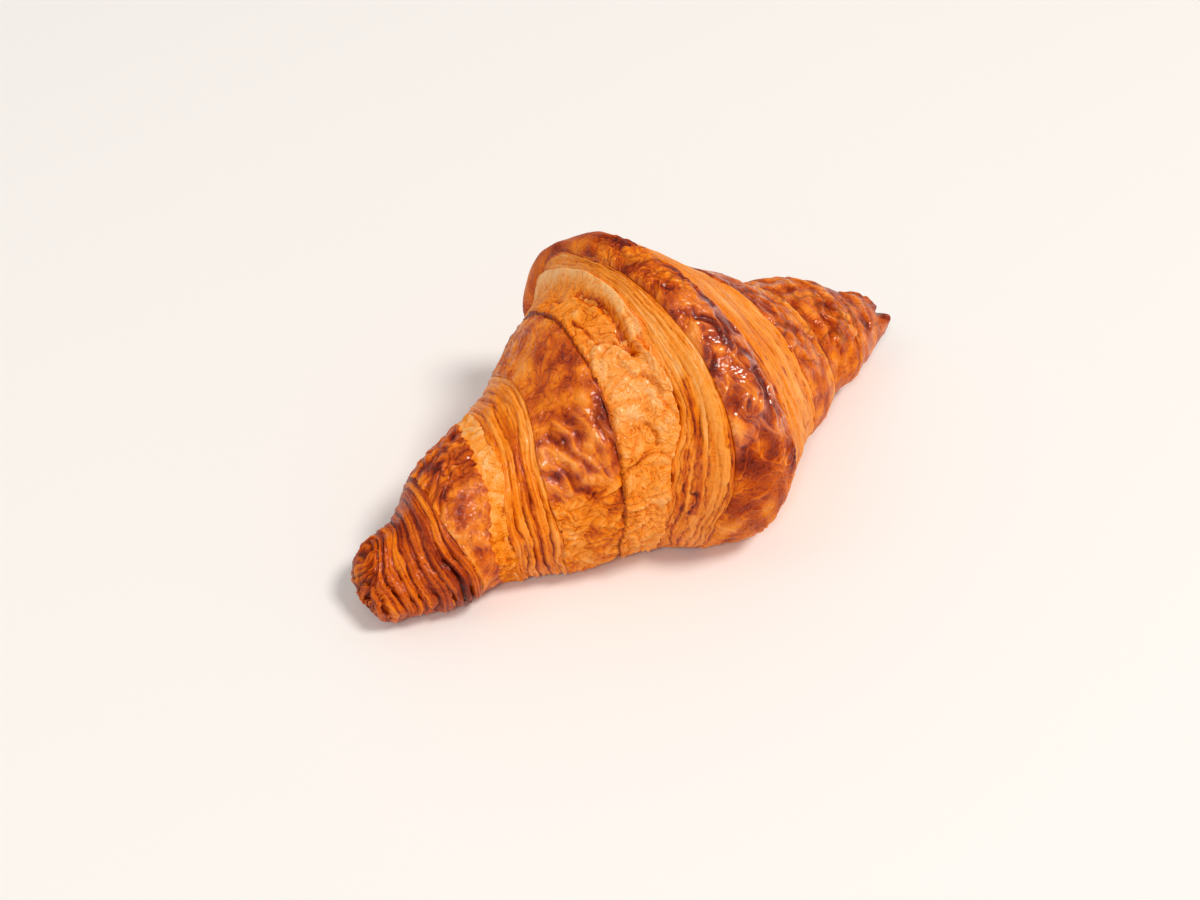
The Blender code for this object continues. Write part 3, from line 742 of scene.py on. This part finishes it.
def right_surface(girth, seed, edge_purple=0.0, ridge_pale=0.0):
    def surface(x, angle, from_left, from_right):
        degrees = np.degrees(angle)
        lower = smooth(degrees, 145, 165)
        fold, ridge = wrinkles(x, angle, 4.0, 6.0, girth, seed, swirl=0.9)
        small, thin = wrinkles(x, angle, 2.0, 2.6, girth, seed + 5)
        rise = lively(x, angle, girth, seed + 2) * 0.7 + 0.25
        crest, frill = blisters(x, angle, 4.6, 7.0, girth, seed + 8)
        rise = rise + (1.0 - 0.6 * lower) * (0.2 * (fold - 0.6) + 0.75 * (crest - 0.5) + 0.2 * (frill - 0.5))
        rise = rise - lip(from_right, 0.5) * (from_right > 0) + 0.5 * ridge_pale * np.exp(-np.abs(from_right - 0.8) / 0.8)
        # Darker in the creases and blister hollows: painted shade, with egg wash pooled in the hollows.
        bake_and_painted_shading = 0.57 + 0.16 * hills(x, angle, 3.5, 4.0, girth, seed + 3) - 0.05 * lower + 0.06 * (1.0 - small)
        bake_and_painted_shading = bake_and_painted_shading + 0.14 * (1.0 - lower) * (0.5 - crest)
        bake_and_painted_shading = bake_and_painted_shading - ridge_pale * 0.25 * np.exp(-np.abs(from_right - 0.8) / 1.2)
        bake_and_painted_shading = bake_and_painted_shading + edge_purple * 0.22 * np.exp(-np.abs(from_left) / 2.5) * (1.0 - smooth(degrees, 95, 125))
        painted_groove_shade = 0.5 * (1.0 - 0.8 * lower) * (1 - smooth(fold, 0.0, 0.25))
        return rise, {"bake_and_painted_shading": bake_and_painted_shading, "painted_groove_shade": painted_groove_shade, "wash": (0.08 + 0.55 * crest) * (1.0 - 0.7 * lower)}
    return surface


wrap("right_first_wrap", washed_crust, 80, 600, e_right, f_right, (2.0, 0.0), right_surface(23.0, 101, 1.0, 1.0))
wrap("right_second_wrap", washed_crust, 84, 480, f_right, g_right, (2.0, 0.0), right_surface(17.0, 111, 0.0, 0.6))


def tip_shape(along, angle, under):
    degrees = np.degrees(angle)
    x = 80.6 - along * (80.6 - g_right(angle) + 2.0)
    reach = smooth(degrees, 138, 152) * (1.0 - smooth(degrees, 176, 205))
    end = np.clip((80.6 - x) / 1.8, 0.0, 1.0)
    dome = np.sqrt(np.clip(1.0 - (1.0 - end) ** 2, 0.0, 1.0))
    rise, looks = right_surface(10.0, 121)(x, angle, x, x * 0 + 99)
    notch = stroke(x, angle, 6.5, 1.6, (80.6, 134), (78.6, 132))
    prong = patch(x, angle, 6.5, (80.0, 158), (2.4, 1.6))
    radius = skin(np.minimum(x, 80.0), angle) + rise - 0.35 - 2.2 * notch + 0.9 * prong
    radius = np.where(under, 0.0, radius * dome)
    x = x + 1.9 * reach * dome * (1.0 - smooth(80.6 - x, 1.0, 7.0))
    # Darker in the notch: painted shade.
    looks["bake_and_painted_shading"] = looks["bake_and_painted_shading"] + 0.08 * smooth(x, 74, 80) + 0.15 * notch
    looks["wash"] = 0.45
    return x, radius, looks


finish_piece("pointed_tip", [spin_mesh(100, 300, tip_shape, closed=False)], washed_crust)

# ---------------------------------------------------------------------------------------
# The table and the light
# ---------------------------------------------------------------------------------------
paper = bpy.data.materials.new("pale_table")
paper.use_nodes = True
paper.node_tree.nodes["Principled BSDF"].inputs["Base Color"].default_value = linear("#F6F4F1")
paper.node_tree.nodes["Principled BSDF"].inputs["Roughness"].default_value = 0.7
table = bmesh.new()
bmesh.ops.create_grid(table, x_segments=1, y_segments=1, size=3.0)
table_mesh = bpy.data.meshes.new("table")
table.to_mesh(table_mesh)
table.free()
table_mesh.materials.append(paper)
floor = bpy.data.objects.new("table", table_mesh)
bpy.context.scene.collection.objects.link(floor)

CAMERA_AZIMUTH = math.radians(-38.342)
CAMERA_HEIGHT = math.radians(46.589)
CAMERA_DISTANCE = 422.3 * MM
LOOK_AT = Vector((-4.9, 11.54, 1.83)) * MM
CAMERA_ROLL = math.radians(-0.476)
back = Vector((math.sin(CAMERA_AZIMUTH) * math.cos(CAMERA_HEIGHT), -math.cos(CAMERA_AZIMUTH) * math.cos(CAMERA_HEIGHT),
               math.sin(CAMERA_HEIGHT)))
camera_data = bpy.data.cameras.new("camera")
camera_data.sensor_width = 36.0
camera_data.lens = 48.46
camera_data.clip_start = 0.01
camera = bpy.data.objects.new("camera", camera_data)
camera.location = LOOK_AT + back * CAMERA_DISTANCE
camera.rotation_mode = "QUATERNION"
camera.rotation_quaternion = back.to_track_quat("Z", "Y") @ Quaternion((0.0, 0.0, 1.0), CAMERA_ROLL)
bpy.context.scene.collection.objects.link(camera)
bpy.context.scene.camera = camera
bpy.context.scene.view_settings.view_transform = "Standard"


def soft_light(name, direction, distance, size, power, colour):
    data = bpy.data.lights.new(name, "AREA")
    data.shape = "DISK"
    data.size = size
    data.energy = power
    data.color = linear(colour)[:3]
    light = bpy.data.objects.new(name, data)
    way = Vector(direction).normalized()
    light.location = way * distance
    light.rotation_mode = "QUATERNION"
    light.rotation_quaternion = way.to_track_quat("Z", "Y")
    bpy.context.scene.collection.objects.link(light)


soft_light("key", (0.26, -0.42, 0.87), 3.2, 0.85, 57.0, "#FFFAF4")
soft_light("back", (-0.50, 0.22, 0.84), 3.2, 1.5, 6.0, "#FFFBF8")
soft_light("left", (-0.50, -0.40, 0.77), 3.2, 0.42, 19.0, "#FFFBF8")
world = bpy.data.worlds.new("studio")
bpy.context.scene.world = world
world.use_nodes = True
world.node_tree.nodes["Background"].inputs["Color"].default_value = linear("#FFFCFA")
world.node_tree.nodes["Background"].inputs["Strength"].default_value = 0.40
